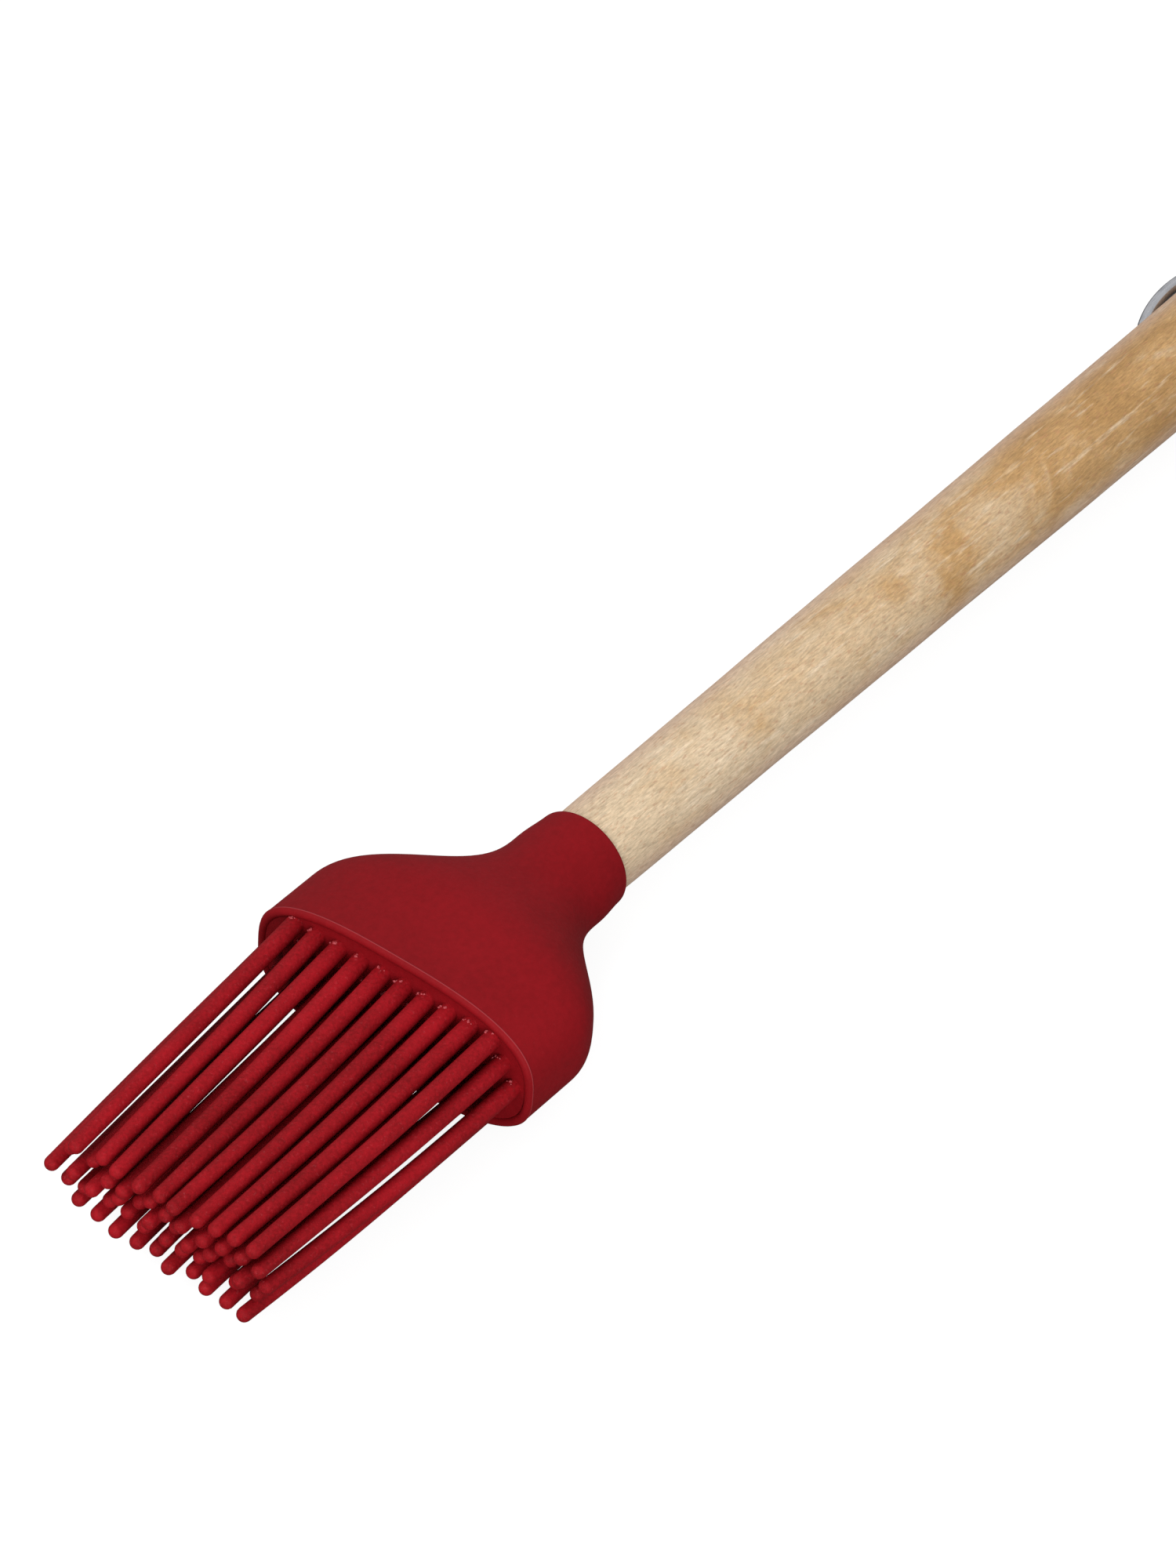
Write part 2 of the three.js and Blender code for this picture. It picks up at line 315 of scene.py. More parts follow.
@dataclass(frozen=True)
class MouldedSilicone(Finish):
    """Silicone rubber out of a finely blasted steel mould.

    To the eye it is a deep, even red with a soft broad sheen and no sharp highlight. The
    blasted mould leaves a fine grain, and the tacky surface holds a little pale dust.
    """

    deep: str = "#740a11"
    body: str = "#810d15"
    tone_stops: tuple[float, float] = (0.36, 0.64)      # noise values of the deep and of the body colour
    dust_and_highlight: str = "#b85a60"                               # also the colour of pale flash and of the painted highlight on the parting line and the flash
    dust_share: float = 0.2                             # of the dust's colour where it is thickest
    dust_range: tuple[float, float] = (0.56, 0.8)       # noise values where dust starts and is thickest
    roughness: float = 0.62
    roughness_spread: tuple[float, float] = (-0.05, 0.09)
    index: float = 1.41
    gloss: float = 0.12           # rubber reflects less than its index says: the blasted grain scatters it
    grain: float = 0.25 * MM      # the blasted mould's is near 0.05 mm, drawn coarser so that it shows
    grain_depth: float = 0.012 * MM
    cloud: float = 12 * MM        # slow change of tone between thick and thin stretches
    mottle: float = 0.9 * MM      # patches that are wiped and patches that are not
    speck: float = 0.4 * MM       # clumps of dust; single grains are near 0.05 mm and would not show

    def dress(self, tree: bpy.types.NodeTree, shader: bpy.types.Node) -> None:
        """Adds clouded red, dust, pale flash with a painted highlight, and the mould's grain.

        Args:
            tree: The material's nodes.
            shader: The Principled shader.
        """
        place = add_node(tree, "ShaderNodeTexCoord").outputs["Object"]
        specks = add_node(tree, "ShaderNodeTexNoise", inputs={
            "Vector": place, "Scale": 1 / self.speck, "Detail": 3.0, "Roughness": 0.65}).outputs["Fac"]
        dusty = self.dusted(tree, self.clouded_red(tree, place), specks)
        # painted highlight: this attribute paints the proud parting line and the root flash paler
        pale = add_node(tree, "ShaderNodeAttribute", {"attribute_name": PALE_AND_HIGHLIGHT})
        pale_and_highlighted = add_node(tree, "ShaderNodeMix", {"data_type": "RGBA"}, {
            "Factor": pale.outputs["Fac"], MIX_UNDER: dusty, MIX_OVER: linear(self.dust_and_highlight)})
        tree.links.new(pale_and_highlighted.outputs[MIX_RESULT], shader.inputs["Base Color"])
        rough = add_node(tree, "ShaderNodeMapRange", inputs={
            "Value": specks, "From Min": NOISE_LOW, "From Max": NOISE_HIGH,
            "To Min": self.roughness + self.roughness_spread[0],
            "To Max": self.roughness + self.roughness_spread[1]})
        tree.links.new(rough.outputs["Result"], shader.inputs["Roughness"])
        grain = add_node(tree, "ShaderNodeTexNoise", inputs={
            "Vector": place, "Scale": 1 / self.grain, "Detail": 2.0, "Roughness": 0.6})
        bump = add_node(tree, "ShaderNodeBump", inputs={
            "Strength": 1.0, "Distance": self.grain_depth, "Height": grain.outputs["Fac"]})
        tree.links.new(bump.outputs["Normal"], shader.inputs["Normal"])
        shader.inputs["IOR"].default_value = self.index
        shader.inputs["Specular IOR Level"].default_value = self.gloss

    def clouded_red(self, tree: bpy.types.NodeTree, place: bpy.types.NodeSocket) -> bpy.types.NodeSocket:
        """Makes the red, in slow clouds and small wiped patches.

        Args:
            tree: The material's nodes.
            place: The place on the piece.

        Returns:
            The colour.
        """
        clouds = add_node(tree, "ShaderNodeTexNoise", inputs={
            "Vector": place, "Scale": 1 / self.cloud, "Detail": 2.0, "Roughness": 0.5})
        patches = add_node(tree, "ShaderNodeTexNoise", inputs={
            "Vector": place, "Scale": 1 / self.mottle, "Detail": 3.0, "Roughness": 0.6})
        tone = add_node(tree, "ShaderNodeMix", inputs={
            "Factor": 0.5, "A": clouds.outputs["Fac"], "B": patches.outputs["Fac"]})
        tones = add_node(tree, "ShaderNodeValToRGB", inputs={"Fac": tone.outputs["Result"]},
                         stops=list(zip(self.tone_stops, (self.deep, self.body))))
        return tones.outputs["Color"]

    def dusted(self, tree: bpy.types.NodeTree, red: bpy.types.NodeSocket,
               specks: bpy.types.NodeSocket) -> bpy.types.NodeSocket:
        """Lays a little pale dust on the red.

        Args:
            tree: The material's nodes.
            red: The colour under the dust.
            specks: The noise that says where the dust lies.

        Returns:
            The colour.
        """
        seen = add_node(tree, "ShaderNodeMapRange", {"interpolation_type": "SMOOTHSTEP"}, {
            "Value": specks, "From Min": self.dust_range[0], "From Max": self.dust_range[1],
            "To Min": 0.0, "To Max": self.dust_share})
        dusty = add_node(tree, "ShaderNodeMix", {"data_type": "RGBA"}, {
            "Factor": seen.outputs["Result"], MIX_UNDER: red, MIX_OVER: linear(self.dust_and_highlight)})
        return dusty.outputs[MIX_RESULT]


@dataclass(frozen=True)
class GrainMarks:
    """Short marks of one colour, scattered along the grain of the wood."""

    colour: str
    width: float
    stretch: float                  # how many times longer than wide
    detail: float
    seen: tuple[float, float]       # noise values where a mark starts and where it is full
    share: float                    # of the mark's colour where it is full


@dataclass(frozen=True)
class TurnedBirch(Finish):
    """Birch turned on a lathe, sanded along the grain and wiped with oil.

    To the eye it is pale cream near the head and golden ochre towards the butt, in soft
    blotches where the grain turns. Short fibres make it granular, and its flanks are painted
    paler and pinkish, a painted sheen where they turn away from the camera. The oil leaves a dull sheen.
    """

    cream: str = "#c8b294"
    tan: str = "#bfa37f"
    ochre: str = "#b38e5f"
    golden: str = "#a88252"
    tone_stops: tuple[float, float, float, float] = (0.3, 0.47, 0.6, 0.75)     # of those four colours
    figure: float = 8 * MM         # width of the broad blotches
    figure_stretch: float = 2.0    # how many times longer than wide they are
    warmth: tuple[float, float] = (-0.2, 0.2)     # added to the tone at the collar and towards the butt
    warm_share: float = 0.8        # share of the way to the butt over which it grows golden
    # painted sheen: the flanks are painted paler and pinkish where the stick turns away from the side facing the
    # camera
    flank_sheen: str = "#d0b29c"
    flank_sheen_share: float = 0.75
    facing_turn: float = 57.0       # degrees from -Y up to the side that faces the camera, where no sheen is painted
    sheen_range: tuple[float, float] = (0.15, 0.8)    # in radii towards the facing side: full painted sheen, then none
    rays: GrainMarks = GrainMarks("#a97457", 0.42 * MM, 2.6, 2.0, (0.54, 0.7), 0.36)
    pale_streaks: GrainMarks = GrainMarks("#dccab0", 1.1 * MM, 9.0, 3.0, (0.54, 0.74), 0.5)
    fibre: float = 0.24 * MM       # fibres are near 0.03 mm wide, drawn coarser so that they show
    fibre_stretch: float = 6.0
    fibre_shade: tuple[float, float] = (0.7, 1.3)     # brightness between fibres and on them
    fibre_depth: float = 0.012 * MM
    roughness: float = 0.55
    roughness_spread: tuple[float, float] = (-0.06, 0.1)
    index: float = 1.47
    gloss: float = 0.3             # sanded wood scatters most of what an even coat would reflect
    front: float = 0.0             # where the wood first shows, along X
    butt: float = 1.0              # where it ends
    axis_height: float = 0.0
    radius: float = 7 * MM

    def dress(self, tree: bpy.types.NodeTree, shader: bpy.types.Node) -> None:
        """Adds the figured tone, the painted sheen on the flanks, rays, pale streaks and fibres.

        Args:
            tree: The material's nodes.
            shader: The Principled shader.
        """
        place = add_node(tree, "ShaderNodeTexCoord").outputs["Object"]
        # painted sheen on the flanks, laid over the wood's own figured tone
        sided = self.painted_sheen_flanks(tree, place, self.figured_tone(tree, place))
        rayed = self.marked(tree, place, sided, self.rays)
        streaked = self.marked(tree, place, rayed, self.pale_streaks)
        stretched = add_node(tree, "ShaderNodeMapping", inputs={
            "Vector": place, "Scale": (1 / self.fibre_stretch, 1.0, 1.0)})
        fibres = add_node(tree, "ShaderNodeTexNoise", inputs={
            "Vector": stretched.outputs["Vector"], "Scale": 1 / self.fibre, "Detail": 4.0,
            "Roughness": 0.72}).outputs["Fac"]
        shade = add_node(tree, "ShaderNodeMapRange", inputs={
            "Value": fibres, "From Min": NOISE_LOW, "From Max": NOISE_HIGH,
            "To Min": self.fibre_shade[0], "To Max": self.fibre_shade[1]})
        shaded = add_node(tree, "ShaderNodeVectorMath", {"operation": "SCALE"}, {
            0: streaked, "Scale": shade.outputs["Result"]})
        tree.links.new(shaded.outputs["Vector"], shader.inputs["Base Color"])
        rough = add_node(tree, "ShaderNodeMapRange", {"interpolation_type": "SMOOTHSTEP"}, {
            "Value": fibres, "From Min": NOISE_LOW, "From Max": NOISE_HIGH,
            "To Min": self.roughness + self.roughness_spread[0],
            "To Max": self.roughness + self.roughness_spread[1]})
        tree.links.new(rough.outputs["Result"], shader.inputs["Roughness"])
        bump = add_node(tree, "ShaderNodeBump", inputs={
            "Strength": 1.0, "Distance": self.fibre_depth, "Height": fibres})
        tree.links.new(bump.outputs["Normal"], shader.inputs["Normal"])
        shader.inputs["IOR"].default_value = self.index
        shader.inputs["Specular IOR Level"].default_value = self.gloss

    def figured_tone(self, tree: bpy.types.NodeTree, place: bpy.types.NodeSocket) -> bpy.types.NodeSocket:
        """Makes the broad blotches, which grow golden towards the butt.

        Args:
            tree: The material's nodes.
            place: The place on the piece.

        Returns:
            The colour.
        """
        along = add_node(tree, "ShaderNodeSeparateXYZ", inputs={0: place}).outputs["X"]
        warmth = add_node(tree, "ShaderNodeMapRange", {"interpolation_type": "SMOOTHSTEP"}, {
            "Value": along, "From Min": self.front, "From Max": mix(self.front, self.butt, self.warm_share),
            "To Min": self.warmth[0], "To Max": self.warmth[1]})
        stretched = add_node(tree, "ShaderNodeMapping", inputs={
            "Vector": place, "Scale": (1 / self.figure_stretch, 1.0, 1.0)})
        figure = add_node(tree, "ShaderNodeTexNoise", inputs={
            "Vector": stretched.outputs["Vector"], "Scale": 1 / self.figure, "Detail": 6.0,
            "Roughness": 0.6, "Distortion": 0.5})
        warmed = add_node(tree, "ShaderNodeMath", {"operation": "ADD"}, {
            0: figure.outputs["Fac"], 1: warmth.outputs["Result"]})
        colours = (self.cream, self.tan, self.ochre, self.golden)
        tones = add_node(tree, "ShaderNodeValToRGB", inputs={"Fac": warmed.outputs["Value"]},
                         stops=list(zip(self.tone_stops, colours)))
        return tones.outputs["Color"]

    def painted_sheen_flanks(self, tree: bpy.types.NodeTree, place: bpy.types.NodeSocket,
                       figured_tone: bpy.types.NodeSocket) -> bpy.types.NodeSocket:
        """Paints a paler, pinkish sheen over the flanks that turn away from the stick's facing side.

        Args:
            tree: The material's nodes.
            place: The place on the piece.
            figured_tone: The wood's own colour, under the painted sheen.

        Returns:
            The colour.
        """
        turn = math.radians(self.facing_turn)
        facing_axis = Vector((0, -math.cos(turn), math.sin(turn))) / self.radius
        reach = add_node(tree, "ShaderNodeVectorMath", {"operation": "DOT_PRODUCT"}, {0: place, 1: facing_axis})
        middle = self.axis_height * facing_axis.z
        flank = add_node(tree, "ShaderNodeMapRange", {"interpolation_type": "SMOOTHSTEP"}, {
            "Value": reach.outputs["Value"], "From Min": middle + self.sheen_range[0],
            "From Max": middle + self.sheen_range[1], "To Min": self.flank_sheen_share, "To Max": 0.0})
        sided = add_node(tree, "ShaderNodeMix", {"data_type": "RGBA"}, {
            "Factor": flank.outputs["Result"], MIX_UNDER: figured_tone, MIX_OVER: linear(self.flank_sheen)})
        return sided.outputs[MIX_RESULT]

    def marked(self, tree: bpy.types.NodeTree, place: bpy.types.NodeSocket, wood: bpy.types.NodeSocket,
               marks: GrainMarks) -> bpy.types.NodeSocket:
        """Scatters short marks over the wood, along its grain.

        Args:
            tree: The material's nodes.
            place: The place on the piece.
            wood: The colour under the marks.
            marks: Their colour, size and strength.

        Returns:
            The colour.
        """
        stretched = add_node(tree, "ShaderNodeMapping", inputs={
            "Vector": place, "Scale": (1 / marks.stretch, 1.0, 1.0)})
        scatter = add_node(tree, "ShaderNodeTexNoise", inputs={
            "Vector": stretched.outputs["Vector"], "Scale": 1 / marks.width, "Detail": marks.detail,
            "Roughness": 0.6})
        seen = add_node(tree, "ShaderNodeMapRange", {"interpolation_type": "SMOOTHSTEP"}, {
            "Value": scatter.outputs["Fac"], "From Min": marks.seen[0], "From Max": marks.seen[1],
            "To Min": 0.0, "To Max": marks.share})
        marked = add_node(tree, "ShaderNodeMix", {"data_type": "RGBA"}, {
            "Factor": seen.outputs["Result"], MIX_UNDER: wood, MIX_OVER: linear(marks.colour)})
        return marked.outputs[MIX_RESULT]


@dataclass(frozen=True)
class PlatedSteel(Finish):
    """Drawn steel wire, bent and bright nickel-plated.

    To the eye it is a pale cool mirror, broken by faint drawing lines round the wire and a few
    rubbed, duller patches where it turns in the wood.
    """

    bright: str = "#d6d7dc"
    rubbed: str = "#a9aab0"
    tone_stops: tuple[float, float] = (0.42, 0.75)    # noise values of those two colours
    roughness: float = 0.12
    rubbed_roughness: float = 0.28
    rubbed_range: tuple[float, float] = (0.4, 0.75)   # noise values of those two
    patch: float = 2.5 * MM       # rubbed patches
    line: float = 0.3 * MM        # drawing lines are near 0.02 mm, drawn coarser so that they show
    line_depth: float = 0.002 * MM

    def dress(self, tree: bpy.types.NodeTree, shader: bpy.types.Node) -> None:
        """Adds rubbed patches and drawing lines.

        Args:
            tree: The material's nodes.
            shader: The Principled shader.
        """
        place = add_node(tree, "ShaderNodeTexCoord").outputs["Object"]
        patches = add_node(tree, "ShaderNodeTexNoise", inputs={
            "Vector": place, "Scale": 1 / self.patch, "Detail": 4.0, "Roughness": 0.6})
        tones = add_node(tree, "ShaderNodeValToRGB", inputs={"Fac": patches.outputs["Fac"]},
                         stops=list(zip(self.tone_stops, (self.bright, self.rubbed))))
        tree.links.new(tones.outputs["Color"], shader.inputs["Base Color"])
        rough = add_node(tree, "ShaderNodeMapRange", inputs={
            "Value": patches.outputs["Fac"], "From Min": self.rubbed_range[0],
            "From Max": self.rubbed_range[1],
            "To Min": self.roughness, "To Max": self.rubbed_roughness})
        tree.links.new(rough.outputs["Result"], shader.inputs["Roughness"])
        lines = add_node(tree, "ShaderNodeTexNoise", inputs={
            "Vector": place, "Scale": 1 / self.line, "Detail": 2.0, "Roughness": 0.5})
        bump = add_node(tree, "ShaderNodeBump", inputs={
            "Strength": 1.0, "Distance": self.line_depth, "Height": lines.outputs["Fac"]})
        tree.links.new(bump.outputs["Normal"], shader.inputs["Normal"])
        shader.inputs["Metallic"].default_value = 1.0


@dataclass(frozen=True)
class MouldedNylon(Finish):
    """Natural nylon, injection moulded.

    To the eye it is a warm off-white with a low waxy sheen and faint flow clouds.
    """

    dark: str = "#d9d2c2"
    light: str = "#ebe6da"
    tone_stops: tuple[float, float] = (0.35, 0.65)    # noise values of those two colours
    cloud: float = 6 * MM
    grain: float = 0.3 * MM       # the mould's is near 0.02 mm, drawn coarser so that it shows
    grain_depth: float = 0.01 * MM
    roughness: float = 0.45
    index: float = 1.53

    def dress(self, tree: bpy.types.NodeTree, shader: bpy.types.Node) -> None:
        """Adds flow clouds and a fine mould grain.

        Args:
            tree: The material's nodes.
            shader: The Principled shader.
        """
        place = add_node(tree, "ShaderNodeTexCoord").outputs["Object"]
        clouds = add_node(tree, "ShaderNodeTexNoise", inputs={"Vector": place, "Scale": 1 / self.cloud})
        tones = add_node(tree, "ShaderNodeValToRGB", inputs={"Fac": clouds.outputs["Fac"]},
                         stops=list(zip(self.tone_stops, (self.dark, self.light))))
        tree.links.new(tones.outputs["Color"], shader.inputs["Base Color"])
        grain = add_node(tree, "ShaderNodeTexNoise", inputs={"Vector": place, "Scale": 1 / self.grain})
        bump = add_node(tree, "ShaderNodeBump", inputs={
            "Strength": 1.0, "Distance": self.grain_depth, "Height": grain.outputs["Fac"]})
        tree.links.new(bump.outputs["Normal"], shader.inputs["Normal"])
        shader.inputs["Roughness"].default_value = self.roughness
        shader.inputs["IOR"].default_value = self.index


class Slot(Enum):
    """The record's material slots."""

    BIRCH = "birch"
    STEEL = "steel"
    HEAD = "head_silicone"
    BRISTLE = "bristle_silicone"
    NYLON = "nylon"


def finish_piece(piece: bpy.types.Object, material: bpy.types.Material,
                 replaced: Iterable[str] = ()) -> None:
    """Dresses a piece and says which frame nodes it stands for.

    Args:
        piece: A new piece, or a node of the frame that stays.
        material: Its finish.
        replaced: The frame nodes that a new piece replaces.
    """
    piece.data.materials.clear()
    piece.data.materials.append(material)
    if replaced:
        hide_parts(*replaced)
    LOG.info("%s: %d faces, %s", piece.name, len(piece.data.polygons), material.name)


# ------------------------------------------------------------------ the head


@dataclass
class Head:
    """The silicone sleeve, the pad in its mouth and the nylon core inside.

    The sleeve's section is a superellipse that falls from the broad front to a round collar.
    """

    material: bpy.types.Material
    core_material: bpy.types.Material
    squareness: float = 2.8         # the superellipse's power at the front, against 2 at the collar
    side_sweep: tuple[float, float] = (9.7 * MM, 33.8 * MM)     # where the sides fall in, from the rim
    face_sweep: tuple[float, float] = (12.1 * MM, 31.5 * MM)    # and the upper and lower faces
    shoulder_power: float = 2.1     # higher holds the shoulder full for longer
    sweep_power: float = 3.15       # higher draws the sweep out longer at the waist
    waist_half_width: float = 7.8 * MM
    waist_half_thickness: float = 6.9 * MM
    collar_radius: float = 7.2 * MM
    lip: float = 0.4 * MM           # rounding of the collar's end
    wall: float = 1.2 * MM
    # The rim's bead and the thin parting line that stands proud behind it, then the bead's inner side:
    # how far behind the rim, and how far drawn in from the outside, in millimetres.
    bead: tuple[tuple[float, float], ...] = (
        (-0.05, 0.66), (-0.03, 0.46), (0.03, 0.29), (0.13, 0.15), (0.27, 0.05), (0.4, 0.0),
        (0.47, -0.05), (0.54, -0.05), (0.62, 0.0))
    bead_inside: tuple[tuple[float, float], ...] = (
        (0.9, 1.2), (0.5, 1.19), (0.3, 1.15), (0.12, 1.05), (0.0, 0.86))
    # painted highlight: how pale the proud parting line along the rim is painted
    parting_highlight: float = 0.3
    outside_start: float = 0.8 * MM     # the plain outside starts here, behind the rim
    inside_end: float = 1.6 * MM        # and the plain inside ends here
    collar_bore_depth: float = 5.0 * MM
    bore_clearance: float = 0.06 * MM
    bore_chamfer: tuple[float, float] = (0.12 * MM, 0.1 * MM)   # how deep and how wide
    # The pad's outline from the middle of its face to the wall, and its back: how far behind the face or
    # the back, and how far drawn in from the sleeve's wall, in millimetres.
    pad_face: tuple[tuple[float, float], ...] = (
        (0.0, 6.8), (0.0, 2.8), (0.0, 0.48), (-0.06, -0.02), (0.3, 0.05))
    pad_back: tuple[tuple[float, float], ...] = ((0.0, 0.05), (0.0, 4.8))
    pad_sunk: float = 0.05 * MM     # behind the frame's pad
    sides: int = 192
    outside_steps: int = 48
    inside_steps: int = 22
    lip_steps: int = 6

    def __post_init__(self) -> None:
        """Takes the head's place and size from the frame."""
        low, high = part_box("head_sleeve")
        self.rim = low.x
        self.length = high.x - low.x
        self.half_width = (high.y - low.y) / 2
        self.axis_height = (low.z + high.z) / 2
        self.half_thickness = (high.z - low.z) / 2

    def fall(self, x: float, span: tuple[float, float]) -> float:
        """Falls from 1 to 0 over a sweep, full at the shoulder and drawn out at the waist."""
        along = clamp((x - span[0]) / (span[1] - span[0]))
        return (1 - along ** self.shoulder_power) ** self.sweep_power

    def neck(self, x: float, waist: float, end: float) -> float:
        """Goes from the waist's size to the collar's behind the end of a sweep."""
        return mix(waist, self.collar_radius, smooth((x - end) / (self.length - end)))

    def section(self, x: float, inset: float) -> list[Vector]:
        """The outline of the head's section.

        Args:
            x: How far behind the rim it is.
            inset: How far it is drawn in.

        Returns:
            The section's points in the row frame.
        """
        side_fall = self.fall(x, self.side_sweep)
        across = mix(self.neck(x, self.waist_half_width, self.side_sweep[1]), self.half_width,
                     side_fall) - inset
        upward = mix(self.neck(x, self.waist_half_thickness, self.face_sweep[1]), self.half_thickness,
                     self.fall(x, self.face_sweep)) - inset
        power = mix(2.0, self.squareness, side_fall)
        points = []
        for turn in equal_turns(self.sides):
            cosine, sine = math.cos(turn), math.sin(turn)
            reach = (abs(cosine) ** power + abs(sine) ** power) ** (-1 / power)
            points.append(Vector((self.rim + x, across * reach * cosine,
                                  self.axis_height + upward * reach * sine)))
        return points

    def outside(self) -> list[list[Vector]]:
        """The sleeve's sections outside, from the rim's bead to the collar's rounded end.

        Returns:
            The sections.
        """
        rings = [self.section(x * MM, inset * MM) for x, inset in self.bead]
        end = self.length - self.lip
        for step in range(self.outside_steps + 1):
            rings.append(self.section(mix(self.outside_start, end, step / self.outside_steps), 0.0))
        for step in range(1, self.lip_steps + 1):
            turn = math.pi / 2 * step / self.lip_steps
            rings.append(self.section(end + self.lip * math.sin(turn), self.lip * (1 - math.cos(turn))))
        return rings

    def inside(self) -> list[list[Vector]]:
        """The sleeve's sections inside, from the bore round the handle to the bead's inner side.

        Returns:
            The sections.
        """
        bore = HANDLE_FRONT_RADIUS + self.bore_clearance
        bore_start = self.length - self.collar_bore_depth
        depth, width = self.bore_chamfer
        stations = ((self.length, bore + width), (self.length - depth, bore), (bore_start, bore))
        rings = [round_section(self.rim + x, radius, self.sides, self.axis_height) for x, radius in stations]
        for step in range(self.inside_steps + 1):
            rings.append(self.section(mix(bore_start, self.inside_end, step / self.inside_steps), self.wall))
        rings += [self.section(x * MM, inset * MM) for x, inset in self.bead_inside]
        return rings

    def sleeve(self) -> bpy.types.Object:
        """Builds the sleeve as one closed skin, with a painted highlight on its proud parting line.

        Returns:
            The sleeve.
        """
        piece = mesh_object("silicone_sleeve", *skin(self.outside() + self.inside(), closed=True))
        # painted highlight: the proud parting line is painted pale along the rim's edge
        proud = [ring for ring, (_, inset) in enumerate(self.bead) if inset < 0]
        points = [ring * self.sides + i for ring in proud for i in range(self.sides)]
        set_paleness(piece, points, [self.parting_highlight] * len(points))
        finish_piece(piece, self.material, ["head_sleeve"])
        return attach(piece, "brush")

    def pad(self) -> bpy.types.Object:
        """Builds the plate that the bristles stand on, fitting the sleeve's mouth.

        Returns:
            The pad.
        """
        low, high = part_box("bristle_pad")
        front = low.x - self.rim + self.pad_sunk
        back = high.x - self.rim
        rings = [self.section(front + x * MM, self.wall + inset * MM) for x, inset in self.pad_face]
        rings += [self.section(back + x * MM, self.wall + inset * MM) for x, inset in self.pad_back]
        piece = mesh_object("silicone_pad", *skin(rings, closed=False))
        finish_piece(piece, self.material, ["bristle_pad"])
        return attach(piece, "brush")

    def build(self) -> None:
        """Makes the sleeve and the pad, and dresses the frame's core."""
        self.sleeve()
        self.pad()
        finish_piece(frame["nodes"]["head_core"], self.core_material)


# ------------------------------------------------------------------ the bristles


OCTAHEDRON = [(1, 0, 0), (-1, 0, 0), (0, 1, 0), (0, -1, 0), (0, 0, 1), (0, 0, -1)]
OCTAHEDRON_FACES = [[0, 2, 4], [2, 1, 4], [1, 3, 4], [3, 0, 4], [2, 0, 5], [1, 2, 5], [3, 1, 5], [0, 3, 5]]


@dataclass
class TornFlash:
    """Small shreds that the mould leaves on the upper side of a bristle's root, painted pale: partly the flash's
    own paleness, partly a painted highlight.
    """

    count: int = 5
    torn_side: tuple[float, float] = (50, 130)      # degrees from +Y to the middle of the shreds
    spread: float = 35                              # degrees to either side of it
    size: tuple[float, float] = (0.12 * MM, 0.27 * MM)
    reach: tuple[float, float] = (0.1 * MM, 0.5 * MM)   # how far in front of the rim
    raggedness: tuple[float, float] = (0.6, 1.3)    # a corner's share of the size
    # pale flash with a painted highlight, from 0 for the body's colour to 1 for the palest
    paleness: tuple[float, float] = (0.2, 0.9)

    def shreds(self, foot: Vector, radius: float,
               rng: random.Random) -> tuple[list[Vector], list[list[int]]]:
        """Makes the shreds of one root.

        Args:
            foot: The middle of the bristle, level with the rim.
            radius: The bristle's radius there.
            rng: What draws their places and sizes.

        Returns:
            The points and the faces.
        """
        vertices: list[Vector] = []
        faces: list[list[int]] = []
        torn = rng.uniform(*self.torn_side)
        for _ in range(self.count):
            turn = math.radians(torn + rng.uniform(-self.spread, self.spread))
            size = rng.uniform(*self.size)
            middle = foot + Vector((-rng.uniform(*self.reach), radius * math.cos(turn),
                                    radius * math.sin(turn)))
            first = len(vertices)
            for corner in OCTAHEDRON:
                vertices.append(middle + Vector(corner) * size * rng.uniform(*self.raggedness))
            faces += [[first + i for i in face] for face in OCTAHEDRON_FACES]
        return vertices, faces


